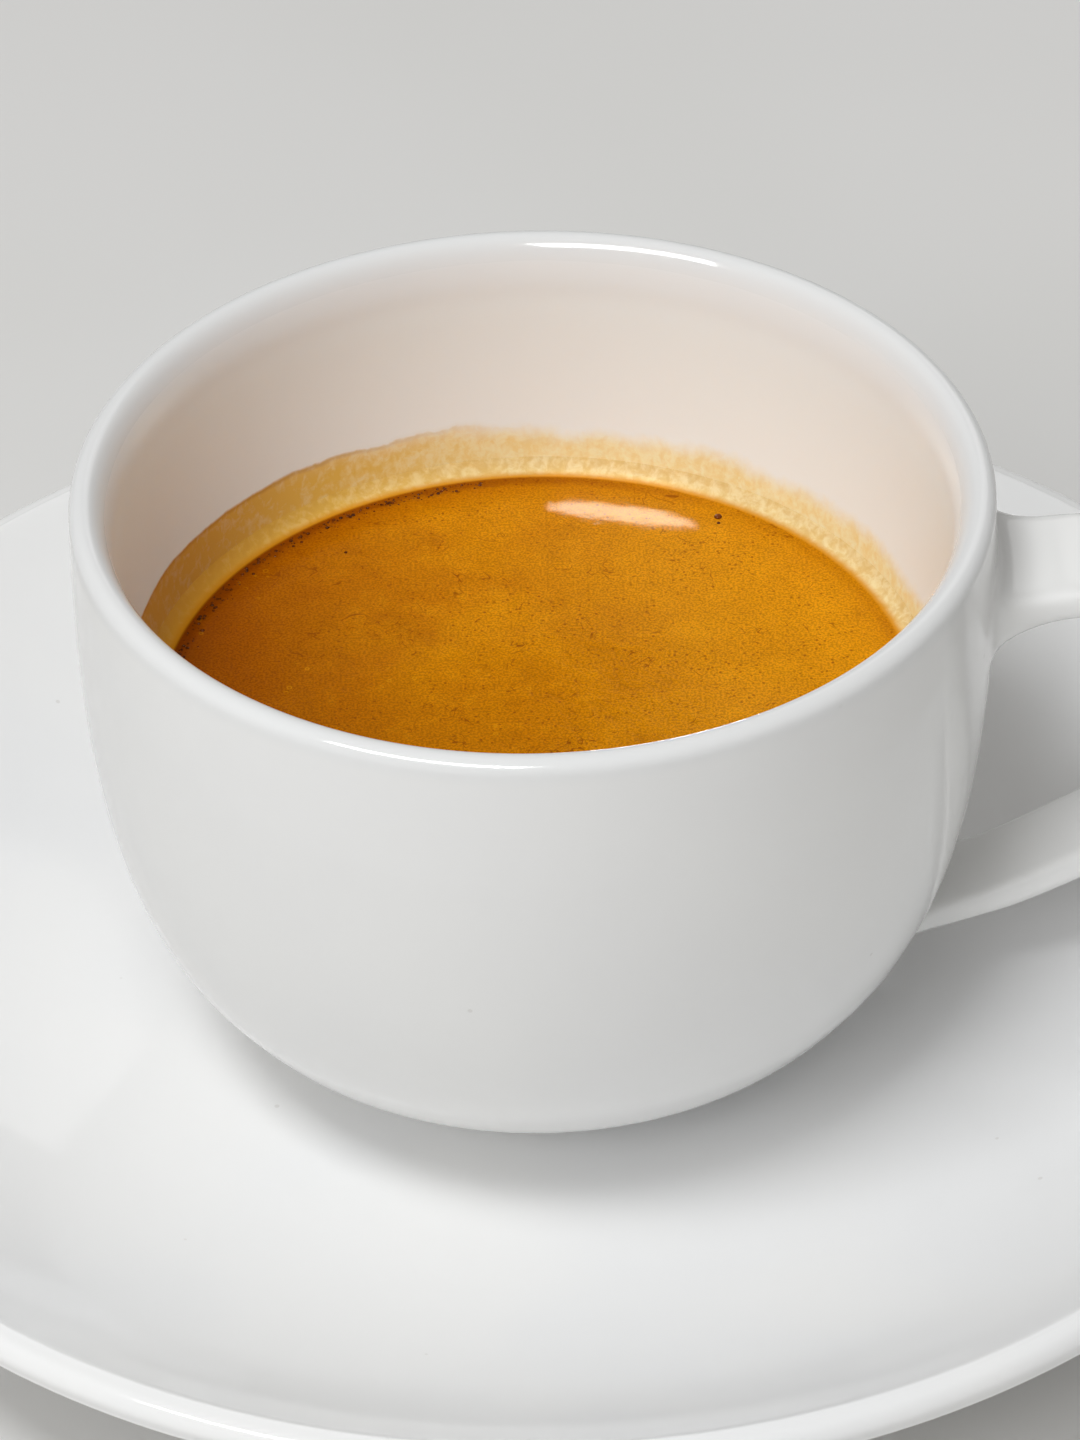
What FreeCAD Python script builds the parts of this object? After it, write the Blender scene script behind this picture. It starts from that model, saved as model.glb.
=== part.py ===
import FreeCAD, Part
import math
import os

# Espresso shot in a glazed cup on its saucer. Millimetres, +Z up.
# The origin is the centre of the saucer's foot ring, on the surface it stands on.
# The cup and the saucer share the Z axis, and the handle points along +X.

# Turned surfaces start here, clear of the handle
SEAM_ANGLE = 180.0

# Saucer: a coupe dish of even wall on a foot ring
SAUCER_DIAMETER = 134.0
SAUCER_HEIGHT = 18.3
SAUCER_WALL = 3.0
SAUCER_WELL_RADIUS = 26.0
SAUCER_FOOT_DIAMETER = 74.0
SAUCER_FOOT_WIDTH = 3.2
SAUCER_FOOT_HEIGHT = 3.0
SAUCER_FOOT_ROUND = 0.8

# Cup: a round bowl that swells under the lip, on a low foot ring
CUP_RIM_DIAMETER = 70.0
CUP_HEIGHT = 49.2
CUP_LIP_OUTER_ROUND = 1.1
CUP_LIP_INNER_ROUND = 2.1
CUP_SWELL = 1.8
CUP_SIDE_FULLNESS = 0.939
CUP_BASE_FULLNESS = 0.729
CUP_FOOT_DIAMETER = 38.0
CUP_FOOT_WIDTH = 2.4
CUP_FOOT_RECESS = 0.8
CUP_FOOT_ROUND = 0.5
CUP_FLOOR_WALL = 3.4
CUP_INNER_SIDE_FULLNESS = 0.8
CUP_INNER_BASE_FULLNESS = 0.75

# Handle: a flat strap in a loop, wide at the top and narrower at the bottom
HANDLE_THICKNESS = 2.6
HANDLE_TOP_WIDTH = 11.0
HANDLE_BOTTOM_WIDTH = 7.6
HANDLE_EDGE_ROUND = 0.9
HANDLE_TOP_DROP = 10.65
HANDLE_TOP_RISE = 15.0
HANDLE_CREST_RADIUS = 40.0
HANDLE_CREST_END = 3.0
HANDLE_SHOULDER_RADIUS = 11.4
HANDLE_BACK_RADIUS = 15.0
HANDLE_TAIL_SLOPE = 29.7
HANDLE_TAIL_RUN = 8.8
HANDLE_TAIL_RADIUS = 33.0
HANDLE_TAIL_END_SLOPE = 2.0
HANDLE_BASE_RISE = 6.8
HANDLE_BASE_EMBED = 3.0
HANDLE_ROOT_BLEND = 4.0
HANDLE_ROOT_DEPTH = 0.03
HANDLE_ROOT_STATIONS = (0.0, 0.1, 0.25, 0.5, 1.0)
HANDLE_ROOT_ROUNDING = 0.75
HANDLE_SIDE_FLARE = 0.6
HANDLE_BASE_SWELL = 1.0
HANDLE_BASE_RUN = 10.0
HANDLE_STATION_GAP = 5.0

# Espresso: fills the bowl up to its level, and climbs the wall a little at the edge
DRINK_DROP = 20.75
MENISCUS_RISE = 1.2
MENISCUS_RUN = 1.6
MENISCUS_SAG = 0.17

# Numerical limits
TINY = 1e-6
TINY_OVERLAP = 0.01


def point(radius, height):
    """A point of a profile, in the XZ plane."""
    return FreeCAD.Vector(radius, 0.0, height)


def line(start, end):
    return Part.LineSegment(start, end).toShape()


def arc(start, middle, end):
    return Part.Arc(start, middle, end).toShape()


def bezier(*poles):
    curve = Part.BezierCurve()
    curve.setPoles(list(poles))
    return curve.toShape()


def polar(centre, radius, degrees):
    """The point at an angle and a radius from a centre, in the XZ plane."""
    angle = math.radians(degrees)
    return centre + FreeCAD.Vector(radius * math.cos(angle), 0.0, radius * math.sin(angle))


def turned(edges):
    """The solid that a closed profile sweeps about the Z axis."""
    face = Part.Face(Part.Wire(Part.__sortEdges__(edges)))
    solid = face.revolve(FreeCAD.Vector(0, 0, 0), FreeCAD.Vector(0, 0, 1), 360)
    solid.rotate(FreeCAD.Vector(0, 0, 0), FreeCAD.Vector(0, 0, 1), SEAM_ANGLE)
    return solid


def ring(outer_radius, width, bottom, top, bottom_round):
    """A foot ring with both bottom edges rounded."""
    base = FreeCAD.Vector(0, 0, bottom)
    body = Part.makeCylinder(outer_radius, top - bottom, base)
    body = body.cut(Part.makeCylinder(outer_radius - width, top - bottom, base))
    rims = [edge for edge in body.Edges if edge.BoundBox.ZMax < bottom + bottom_round and edge.Closed]
    rims = [edge for edge in rims if len(edge.Vertexes) == 1]
    return body.makeFillet(bottom_round, rims)


def saucer():
    """One even wall: a flat well, then one arc up to a fully rounded lip."""
    half = SAUCER_WALL / 2.0
    well = point(SAUCER_WELL_RADIUS, SAUCER_FOOT_HEIGHT + half)
    lip = point(SAUCER_DIAMETER / 2.0 - half, SAUCER_HEIGHT - half)
    tilt = 2.0 * math.degrees(math.atan2(lip.z - well.z, lip.x - well.x))
    sweep_radius = (lip.x - well.x) / math.sin(math.radians(tilt))
    centre = well + FreeCAD.Vector(0, 0, sweep_radius)

    def flank(radius):
        start = polar(centre, radius, -90.0)
        middle = polar(centre, radius, -90.0 + tilt / 2.0)
        end = polar(centre, radius, -90.0 + tilt)
        return arc(start, middle, end), start, end

    top_edge, top_start, top_end = flank(sweep_radius - half)
    under_edge, under_start, under_end = flank(sweep_radius + half)
    lip_tip = polar(lip, half, tilt)
    lip_top = arc(top_end, polar(lip, half, tilt + 45.0), lip_tip)
    lip_under = arc(lip_tip, polar(lip, half, tilt - 45.0), under_end)
    axis_top = point(0.0, top_start.z)
    axis_under = point(0.0, under_start.z)
    plate = turned([
        line(axis_top, top_start),
        top_edge,
        lip_top,
        lip_under,
        under_edge,
        line(under_start, axis_under),
        line(axis_under, axis_top),
    ])
    foot = ring(SAUCER_FOOT_DIAMETER / 2.0, SAUCER_FOOT_WIDTH, 0.0, well.z, SAUCER_FOOT_ROUND)
    return plate.fuse(foot).removeSplitter()


def seat_height():
    """The top of the saucer's well, where the cup's foot stands."""
    return SAUCER_FOOT_HEIGHT + SAUCER_WALL


def rim_height():
    return seat_height() + CUP_HEIGHT


def inner_poles():
    """The poles of the bowl's inner curve, from under the lip down to the axis."""
    top = rim_height() - CUP_LIP_INNER_ROUND
    radius = CUP_RIM_DIAMETER / 2.0 - CUP_LIP_OUTER_ROUND - CUP_LIP_INNER_ROUND
    floor = seat_height() + CUP_FOOT_RECESS + CUP_FLOOR_WALL
    return [
        point(radius, top),
        point(radius, top - (top - floor) * CUP_INNER_SIDE_FULLNESS),
        point(radius * CUP_INNER_BASE_FULLNESS, floor),
        point(0.0, floor),
    ]


def outer_poles():
    """The poles of the bowl's outer curve, from under the lip down to the axis."""
    top = rim_height() - CUP_LIP_OUTER_ROUND
    radius = CUP_RIM_DIAMETER / 2.0
    base = seat_height() + CUP_FOOT_RECESS
    return [
        point(radius, top),
        point(radius + CUP_SWELL, top - (top - base) * CUP_SIDE_FULLNESS),
        point(radius * CUP_BASE_FULLNESS, base),
        point(0.0, base),
    ]


def radius_at(poles, height):
    """The radius at a height of a bowl curve that falls from the lip to the axis."""
    curve = Part.BezierCurve()
    curve.setPoles(poles)
    low, high = curve.FirstParameter, curve.LastParameter
    while high - low > TINY:
        middle = (low + high) / 2.0
        if curve.value(middle).z > height:
            low = middle
        else:
            high = middle
    return curve.value(low).x


def bowl_hollow():
    """The space inside the cup, up to where its lip starts to round."""
    inner = inner_poles()
    top = point(0.0, inner[0].z)
    return turned([bezier(*inner), line(inner[-1], top), line(top, inner[0])])


def bowl_wall():
    """The bowl with its lip, rounded tightly outside and softly inside."""
    outer = outer_poles()
    inner = inner_poles()
    crown = point(outer[0].x - CUP_LIP_OUTER_ROUND, rim_height())
    outer_centre = point(crown.x, crown.z - CUP_LIP_OUTER_ROUND)
    inner_centre = point(crown.x, crown.z - CUP_LIP_INNER_ROUND)
    return turned([
        bezier(*outer),
        line(outer[-1], inner[-1]),
        bezier(*inner),
        arc(inner[0], polar(inner_centre, CUP_LIP_INNER_ROUND, 135.0), crown),
        arc(crown, polar(outer_centre, CUP_LIP_OUTER_ROUND, 45.0), outer[0]),
    ])


def strap_bends(scale):
    """The strap's pieces from lip to base: (radius, heading at the end) or (None, straight run)."""
    tail = -180.0 + HANDLE_TAIL_SLOPE
    return [
        (HANDLE_CREST_RADIUS * scale, HANDLE_CREST_END),
        (HANDLE_SHOULDER_RADIUS * scale, -90.0),
        (HANDLE_BACK_RADIUS * scale, tail),
        (None, HANDLE_TAIL_RUN * scale),
        (HANDLE_TAIL_RADIUS * scale, -180.0 + HANDLE_TAIL_END_SLOPE),
    ]


def walk(place, heading, bends):
    """Stations along a route that starts at a place on a heading: (place, heading, distance run)."""
    stations = [(place, heading, 0.0)]
    for radius, target in bends:
        start, first, travelled = stations[-1]
        turn = 0.0 if radius is None else target - first
        length = target if radius is None else radius * math.radians(abs(turn))
        count = max(2, math.ceil(length / HANDLE_STATION_GAP))
        for step in range(1, count + 1):
            share = step / count
            place = start + chord(first, turn * share, length * share)
            stations.append((place, first + turn * share, travelled + length * share))
    return stations


def strap_route():
    """Stations along the strap's middle line, sized to the drop between its roots on the bowl."""
    lip_root = point(CUP_RIM_DIAMETER / 2.0 - CUP_LIP_OUTER_ROUND, rim_height() - HANDLE_TOP_DROP)
    base_height = seat_height() + HANDLE_BASE_RISE
    natural_drop = -walk(point(0.0, 0.0), HANDLE_TOP_RISE, strap_bends(1.0))[-1][0].z
    bends = strap_bends((lip_root.z - base_height) / natural_drop)
    end = walk(lip_root, HANDLE_TOP_RISE, bends)[-1][0]
    short = end.x - radius_at(outer_poles(), end.z) + HANDLE_BASE_EMBED
    if short > HANDLE_THICKNESS:
        bends.append((None, short))
    return walk(lip_root, HANDLE_TOP_RISE, bends)


def chord(heading, turn, length):
    """The straight step across an arc of a given length that starts on a heading and turns."""
    half_turn = math.radians(turn) / 2.0
    reach = length if abs(half_turn) < TINY else length * math.sin(half_turn) / half_turn
    return polar(FreeCAD.Vector(0, 0, 0), reach, heading + turn / 2.0)


def root_flare(distance, radius):
    """How far a blend of a given radius stands out of the strap at a distance from the wall."""
    if distance >= radius:
        return 0.0
    gap = radius - max(distance, radius * HANDLE_ROOT_DEPTH)
    return radius - math.sqrt(radius * radius - gap * gap)


def strap_section(place, heading, half_thickness, half_width, corner):
    """A rectangle with rounded corners, across the strap's route."""
    normal = FreeCAD.Vector(-math.sin(math.radians(heading)), 0, math.cos(math.radians(heading)))
    side = FreeCAD.Vector(0, 1, 0)
    corners = [(1, 1), (1, -1), (-1, -1), (-1, 1)]
    edges = []
    last = None
    for up, across in corners:
        centre = place + normal * (up * (half_thickness - corner))
        centre = centre + side * (across * (half_width - corner))
        high = centre + normal * (up * corner)
        wide = centre + side * (across * corner)
        mid = centre + (normal * up + side * across) * (corner / math.sqrt(2.0))
        enter, leave = (wide, high) if up * across > 0 else (high, wide)
        if last is not None:
            edges.append(line(last, enter))
        else:
            first = enter
        edges.append(arc(enter, mid, leave))
        last = leave
    edges.append(line(last, first))
    return Part.Wire(edges)


def strap():
    """The strap, drawn through its sections, with a flared root at the lip and at the base."""
    stations = strap_route()
    total = stations[-1][2]
    crest = max(place.z for place, _, _ in stations)
    foot = min(place.z for place, _, _ in stations)
    wall = CUP_LIP_OUTER_ROUND
    extra = [wall + HANDLE_ROOT_BLEND * share for share in HANDLE_ROOT_STATIONS]
    sections = []
    for place, heading, run in refine(stations, extra):
        share = (place.z - foot) / (crest - foot)
        width = HANDLE_BOTTOM_WIDTH + (HANDLE_TOP_WIDTH - HANDLE_BOTTOM_WIDTH) * share
        flare = root_flare(run - wall, HANDLE_ROOT_BLEND)
        flare += HANDLE_BASE_SWELL * max(0.0, 1.0 - (total - run) / HANDLE_BASE_RUN)
        sections.append(strap_section(
            place, heading, HANDLE_THICKNESS / 2.0 + flare, width / 2.0 + flare * HANDLE_SIDE_FLARE,
            HANDLE_EDGE_ROUND + flare * HANDLE_ROOT_ROUNDING))
    return Part.makeLoft(sections, True, False)


def refine(stations, extra):
    """The stations of the first bend replaced by closer ones where the root's blend needs them."""
    start, heading, _ = stations[0]
    keep = [station for station in stations if station[2] > extra[-1] + TINY]
    close = []
    for run in [0.0] + extra:
        turn = -math.degrees(run / HANDLE_CREST_RADIUS)
        close.append((start + chord(heading, turn, run), heading + turn, run))
    return close + keep


def cup():
    """Bowl, foot and handle, made as one piece."""
    foot = ring(CUP_FOOT_DIAMETER / 2.0, CUP_FOOT_WIDTH, seat_height(),
                seat_height() + CUP_FOOT_RECESS + CUP_FLOOR_WALL / 2.0, CUP_FOOT_ROUND)
    handle = strap().cut(bowl_hollow())
    return bowl_wall().fuse([foot, handle]).removeSplitter()


def espresso():
    """The drink: the bowl's inside up to its level, with a meniscus against the wall."""
    level = rim_height() - DRINK_DROP
    reach = CUP_RIM_DIAMETER
    slab = Part.makeCylinder(reach, reach, FreeCAD.Vector(0, 0, level + MENISCUS_RISE))
    drink = bowl_hollow().cut(slab)
    wall = radius_at(inner_poles(), level + MENISCUS_RISE)
    centre = point(wall - MENISCUS_RUN, level)
    edge = point(wall + TINY_OVERLAP, level + MENISCUS_RISE)
    dip = point((centre.x + edge.x) / 2.0 + MENISCUS_RUN * MENISCUS_SAG,
                (centre.z + edge.z) / 2.0 - MENISCUS_RISE * MENISCUS_SAG)
    top = point(0.0, edge.z)
    dish = turned([line(point(0.0, level), centre), arc(centre, dip, edge), line(edge, top),
                   line(top, point(0.0, level))])
    return drink.cut(dish)


def main():
    os.makedirs("parts", exist_ok=True)
    pieces = {"saucer": saucer(), "cup": cup(), "espresso": espresso()}
    for name, piece in pieces.items():
        solids = piece.Solids
        print(name, "solids", len(solids), "valid", piece.isValid(), "volume", round(piece.Volume, 1))
        solids[0].exportStep("parts/" + name + ".step")


if __name__ == "__main__":
    main()
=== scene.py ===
"""Looks of an espresso shot in its glazed cup, on its saucer.

Metres, +Z up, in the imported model's frame: the cup and the saucer share the Z axis, and the
handle points along +X.
"""

from __future__ import annotations

import logging
import math
import random
from collections.abc import Callable, Iterable, Sequence
from dataclasses import dataclass, field
from enum import Enum

import bmesh
import bpy
from mathutils import Matrix, Vector

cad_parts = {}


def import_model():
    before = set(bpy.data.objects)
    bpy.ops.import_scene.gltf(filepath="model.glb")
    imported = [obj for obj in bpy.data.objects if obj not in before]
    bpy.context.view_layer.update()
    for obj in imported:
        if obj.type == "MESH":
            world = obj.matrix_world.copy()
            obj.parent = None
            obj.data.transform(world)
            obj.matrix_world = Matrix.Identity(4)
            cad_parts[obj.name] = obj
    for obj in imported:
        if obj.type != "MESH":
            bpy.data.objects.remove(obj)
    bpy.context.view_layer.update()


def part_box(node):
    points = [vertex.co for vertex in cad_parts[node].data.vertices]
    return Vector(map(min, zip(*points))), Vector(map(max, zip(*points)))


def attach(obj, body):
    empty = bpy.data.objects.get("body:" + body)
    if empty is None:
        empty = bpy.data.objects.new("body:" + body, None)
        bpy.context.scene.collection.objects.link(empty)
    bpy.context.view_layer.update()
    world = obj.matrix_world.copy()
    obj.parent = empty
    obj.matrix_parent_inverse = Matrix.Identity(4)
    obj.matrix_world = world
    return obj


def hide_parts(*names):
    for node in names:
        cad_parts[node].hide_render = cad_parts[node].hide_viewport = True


LOG = logging.getLogger("espresso")
BODY = "root"
MM = 0.001
NEAR = 1e-6
CORRECTIONS = 12
HALVINGS = 40
Ring = tuple[float, float]
Row = tuple[float, ...]
Triple = tuple[float, float, float]
Colour = Triple
Piece = bpy.types.Object
Socket = bpy.types.NodeSocket


class Slot(Enum):
    """The record's material slots."""

    SAUCER = "saucer_glaze"
    CUP = "cup_glaze"
    COFFEE = "coffee"


# ---------------------------------------------------------------- modelling


def deselect_all() -> None:
    """Leave edit mode and clear the selection."""
    if bpy.context.object is not None and bpy.context.object.mode != "OBJECT":
        bpy.ops.object.mode_set(mode="OBJECT")
    bpy.ops.object.select_all(action="DESELECT")


def pick(obj: Piece, wanted: Callable[[bmesh.types.BMFace], bool], add: bool = False) -> None:
    """Select the faces of an object in edit mode by their place.

    Args:
        obj: The object being edited.
        wanted: Says of a face whether it is to be selected.
        add: Whether what is selected already stays so.
    """
    if not add:
        bpy.ops.mesh.select_all(action="DESELECT")
    bpy.ops.mesh.select_mode(type="FACE")
    shape = bmesh.from_edit_mesh(obj.data)
    for face in shape.faces:
        if wanted(face):
            face.select_set(True)
    bmesh.update_edit_mesh(obj.data)


def pick_open_edges(obj: Piece) -> None:
    """Select the edges that have a face on one side only.

    Args:
        obj: The object being edited.
    """
    bpy.ops.mesh.select_all(action="DESELECT")
    bpy.ops.mesh.select_mode(type="EDGE")
    shape = bmesh.from_edit_mesh(obj.data)
    for edge in shape.edges:
        if edge.is_boundary:
            edge.select_set(True)
    bmesh.update_edit_mesh(obj.data)


def widen(factor: float, middle: Sequence[float], axes: str = "XY") -> None:
    """Scale what is selected about a point.

    Args:
        factor: How much larger it becomes.
        middle: The point.
        axes: The axes along which it is scaled.
    """
    value = tuple(factor if axis in axes else 1.0 for axis in "XYZ")
    bpy.ops.transform.resize(value=value, center_override=tuple(middle))


def tip(angle: float, middle: Sequence[float]) -> None:
    """Turn what is selected about a point, from +X up towards +Z.

    Args:
        angle: How far, in radians.
        middle: The point.
    """
    bpy.ops.transform.rotate(
        value=angle, orient_axis="Y", orient_type="GLOBAL", center_override=tuple(middle)
    )


def smooth_out(piece: Piece, levels: int) -> None:
    """Subdivide a piece as a smooth surface, and apply it.

    Args:
        piece: The piece to subdivide.
        levels: How many times each face is divided.
    """
    deselect_all()
    piece.select_set(True)
    bpy.context.view_layer.objects.active = piece
    bpy.ops.object.shade_smooth()
    modifier = piece.modifiers.new("Smooth", "SUBSURF")
    modifier.levels = modifier.render_levels = levels
    bpy.ops.object.modifier_apply(modifier=modifier.name)


def curve_point(poles: Sequence[Ring], share: float) -> Ring:
    """The point of a cubic curve at a share of its run.

    Args:
        poles: Its four control points.
        share: From 0 at the first to 1 at the last.

    Returns:
        Radius and height there.
    """
    rest = 1.0 - share
    weights = (rest**3, 3 * share * rest**2, 3 * share**2 * rest, share**3)
    return tuple(sum(w * pole[axis] for w, pole in zip(weights, poles)) for axis in (0, 1))


def curve_share(poles: Sequence[Ring], height: float) -> float:
    """The share of a falling cubic curve's run at which it reaches a height.

    Args:
        poles: Its four control points.
        height: The height.

    Returns:
        The share, from 0 to 1.
    """
    low, high = 0.0, 1.0
    for _ in range(HALVINGS):
        middle = (low + high) / 2
        if curve_point(poles, middle)[1] > height:
            low = middle
        else:
            high = middle
    return low


def round_off(middle: Ring, radius: float, start: float, end: float, steps: int) -> list[Ring]:
    """Points round an arc of a profile.

    Args:
        middle: The arc's centre, as radius and height.
        radius: Its radius.
        start: The angle of its first point, in degrees from the outward direction.
        end: The angle of its last point.
        steps: How many steps lie between them.

    Returns:
        The points, both ends among them.
    """
    angles = [math.radians(start + (end - start) * step / steps) for step in range(steps + 1)]
    return [(middle[0] + radius * math.cos(a), middle[1] + radius * math.sin(a)) for a in angles]


def drawn_through(points: Sequence[Sequence[float]]) -> list[list[float]]:
    """Control points whose smoothed line passes through the given ones.

    Args:
        points: The points that the smooth line meets. The two ends stay where they are.

    Returns:
        One control point for each point.
    """
    wanted = [list(map(float, spot)) for spot in points]
    control = [list(spot) for spot in wanted]
    for _ in range(CORRECTIONS):
        before = [list(spot) for spot in control]
        for place in range(1, len(wanted) - 1):
            for axis, goal in enumerate(wanted[place]):
                met = (before[place - 1][axis] + 4 * before[place][axis] + before[place + 1][axis]) / 6
                control[place][axis] += goal - met
    return control


@dataclass
class Wheel:
    """Turns a closed piece about the Z axis, ring after ring, as on a potter's wheel."""

    name: str
    segments: int = 64

    def turn(self, profile: Sequence[Ring]) -> Piece:
        """Turn a profile that runs from the axis round to the axis again.

        Args:
            profile: The rings' radius and height in millimetres, without the two points on the axis.

        Returns:
            The closed piece, in edit mode, before it is smoothed.
        """
        swell = 3.0 / (2.0 + math.cos(2 * math.pi / self.segments))
        rings = [(radius * swell * MM, height * MM) for radius, height in drawn_through(profile)]
        deselect_all()
        bpy.ops.mesh.primitive_circle_add(
            vertices=self.segments, radius=rings[0][0], fill_type="NOTHING", location=(0, 0, rings[0][1])
        )
        piece = bpy.context.object
        piece.name = piece.data.name = self.name
        bpy.ops.object.transform_apply(location=True, rotation=True, scale=True)
        bpy.ops.object.mode_set(mode="EDIT")
        bpy.ops.mesh.select_all(action="SELECT")
        for last, ring in zip(rings, rings[1:]):
            bpy.ops.mesh.extrude_edges_move(TRANSFORM_OT_translate={"value": (0, 0, ring[1] - last[1])})
            widen(ring[0] / last[0], (0, 0, ring[1]))
        self._close_on_axis()
        pick_open_edges(piece)
        self._close_on_axis()
        bpy.ops.mesh.select_all(action="SELECT")
        bpy.ops.mesh.remove_doubles(threshold=1e-7)
        bpy.ops.mesh.normals_make_consistent(inside=False)
        return piece

    @staticmethod
    def _close_on_axis() -> None:
        """Draw the selected ring in to one point on the axis."""
        bpy.ops.mesh.extrude_edges_move(TRANSFORM_OT_translate={"value": (0, 0, 0)})
        bpy.ops.mesh.merge(type="CENTER")


# ---------------------------------------------------------------- finishes


class Net:
    """The net of nodes of one material."""

    def __init__(self, name: str) -> None:
        """Start a material with one Principled shader.

        Args:
            name: The material's name.
        """
        self.material = bpy.data.materials.new(name)
        self.material.use_nodes = True
        self.tree = self.material.node_tree
        self.place: Socket = self.add("ShaderNodeTexCoord", {}).outputs["Object"]

    def add(self, kind: str, inputs: dict[str | int, object], **settings: object) -> bpy.types.Node:
        """Add a node.

        Args:
            kind: Its type.
            inputs: What its inputs are fed, by their names or numbers.
            settings: Its properties.

        Returns:
            The node.
        """
        node = self.tree.nodes.new(kind)
        for name, value in settings.items():
            setattr(node, name, value)
        self._feed(node, inputs)
        return node

    def _feed(self, node: bpy.types.Node, inputs: dict[str | int, object]) -> None:
        """Link or set a node's inputs.

        Args:
            node: The node.
            inputs: A socket, number, vector or colour for each input.
        """
        for key, value in inputs.items():
            socket = node.inputs[key]
            if isinstance(value, bpy.types.NodeSocket):
                self.tree.links.new(value, socket)
            elif isinstance(value, tuple) and len(value) == 3 and socket.type == "RGBA":
                socket.default_value = (*value, 1.0)
            else:
                socket.default_value = value

    def surface(self, inputs: dict[str | int, object]) -> Net:
        """Feed the shader, and hand the net on."""
        self._feed(self.tree.nodes["Principled BSDF"], inputs)
        return self

    def dress(self, piece: Piece) -> None:
        """Put the material on a piece, in place of what it has."""
        piece.data.materials.clear()
        piece.data.materials.append(self.material)

    def calc(self, operation: str, *values: object) -> Socket:
        """One step of arithmetic on sockets or numbers."""
        return self.add("ShaderNodeMath", dict(enumerate(values)), operation=operation).outputs[0]

    def plus(self, first: object, second: object) -> Socket:
        """The sum of two numbers."""
        return self.calc("ADD", first, second)

    def minus(self, first: object, second: object) -> Socket:
        """The first number less the second."""
        return self.calc("SUBTRACT", first, second)

    def times(self, first: object, second: object) -> Socket:
        """The product of two numbers."""
        return self.calc("MULTIPLY", first, second)

    def fade(self, value: object, low: float, high: float, start: float = 0.0, end: float = 1.0) -> Socket:
        """A soft step from one number to another.

        Args:
            value: What the step follows.
            low: Where it starts.
            high: Where it ends. It may be below low.
            start: The number before the step.
            end: The number after it.

        Returns:
            The number's socket.
        """
        if low > high:
            low, high, start, end = high, low, end, start
        inputs = {"Value": value, "From Min": low, "From Max": high, "To Min": start, "To Max": end}
        return self.add("ShaderNodeMapRange", inputs, interpolation_type="SMOOTHSTEP").outputs["Result"]

    def coat(self, colour: object, *layers: tuple[object, object]) -> Socket:
        """Lay colours over a colour.

        Args:
            colour: What lies below.
            layers: The share and the colour of each layer, from the lowest.

        Returns:
            The colour's socket.
        """
        for share, above in layers:
            node = self.add("ShaderNodeMix", {0: share, 6: colour, 7: above}, data_type="RGBA")
            colour = node.outputs[2]
        return colour

    def shade(self, colour: object, factor: object) -> Socket:
        """A colour made lighter or darker by a factor."""
        return self.add("ShaderNodeHueSaturation", {"Color": colour, "Value": factor}).outputs["Color"]

    def stretched(self, scale: Sequence[float], shift: Sequence[float] = (0, 0, 0)) -> Socket:
        """The object's coordinates, scaled and moved."""
        inputs = {"Vector": self.place, "Scale": tuple(scale), "Location": tuple(shift)}
        return self.add("ShaderNodeMapping", inputs).outputs["Vector"]

    def clouds(self, size: float, detail: float = 3.0, rough: float = 0.5, warp: float = 0.0,
               vector: Socket | None = None) -> Socket:
        """Soft noise, about 0.5 on average.

        Args:
            size: The size of its patches, in metres.
            detail: How many finer layers it has.
            rough: How strong the finer layers are.
            warp: How far it is swirled.
            vector: The coordinates it reads, if not the object's.

        Returns:
            The noise's socket.
        """
        inputs = {"Vector": vector or self.place, "Scale": 1.0 / size, "Detail": detail,
                  "Roughness": rough, "Distortion": warp}
        return self.add("ShaderNodeTexNoise", inputs).outputs[0]

    def cells(self, size: float) -> Socket:
        """The distance to the nearest of many scattered points, as a share of a cell's size."""
        inputs = {"Vector": self.place, "Scale": 1.0 / size}
        return self.add("ShaderNodeTexVoronoi", inputs).outputs["Distance"]

    def axes(self) -> tuple[Socket, Socket, Socket, Socket]:
        """The place across, along, up, and out from the Z axis.

        Returns:
            Sockets for x, y, z and the radius.
        """
        x, y, z = self.add("ShaderNodeSeparateXYZ", {0: self.place}).outputs
        return x, y, z, self.calc("SQRT", self.plus(self.times(x, x), self.times(y, y)))

    def relief(self, height: Socket, depth: float, over: Socket | None = None) -> Socket:
        """Bumps from a height.

        Args:
            height: The height's socket.
            depth: How deep a height of 1 is, in metres.
            over: Bumps that these lie on.

        Returns:
            The normal's socket.
        """
        inputs = {"Height": height, "Distance": depth, "Strength": 1.0}
        if over is not None:
            inputs["Normal"] = over
        return self.add("ShaderNodeBump", inputs).outputs["Normal"]


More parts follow.
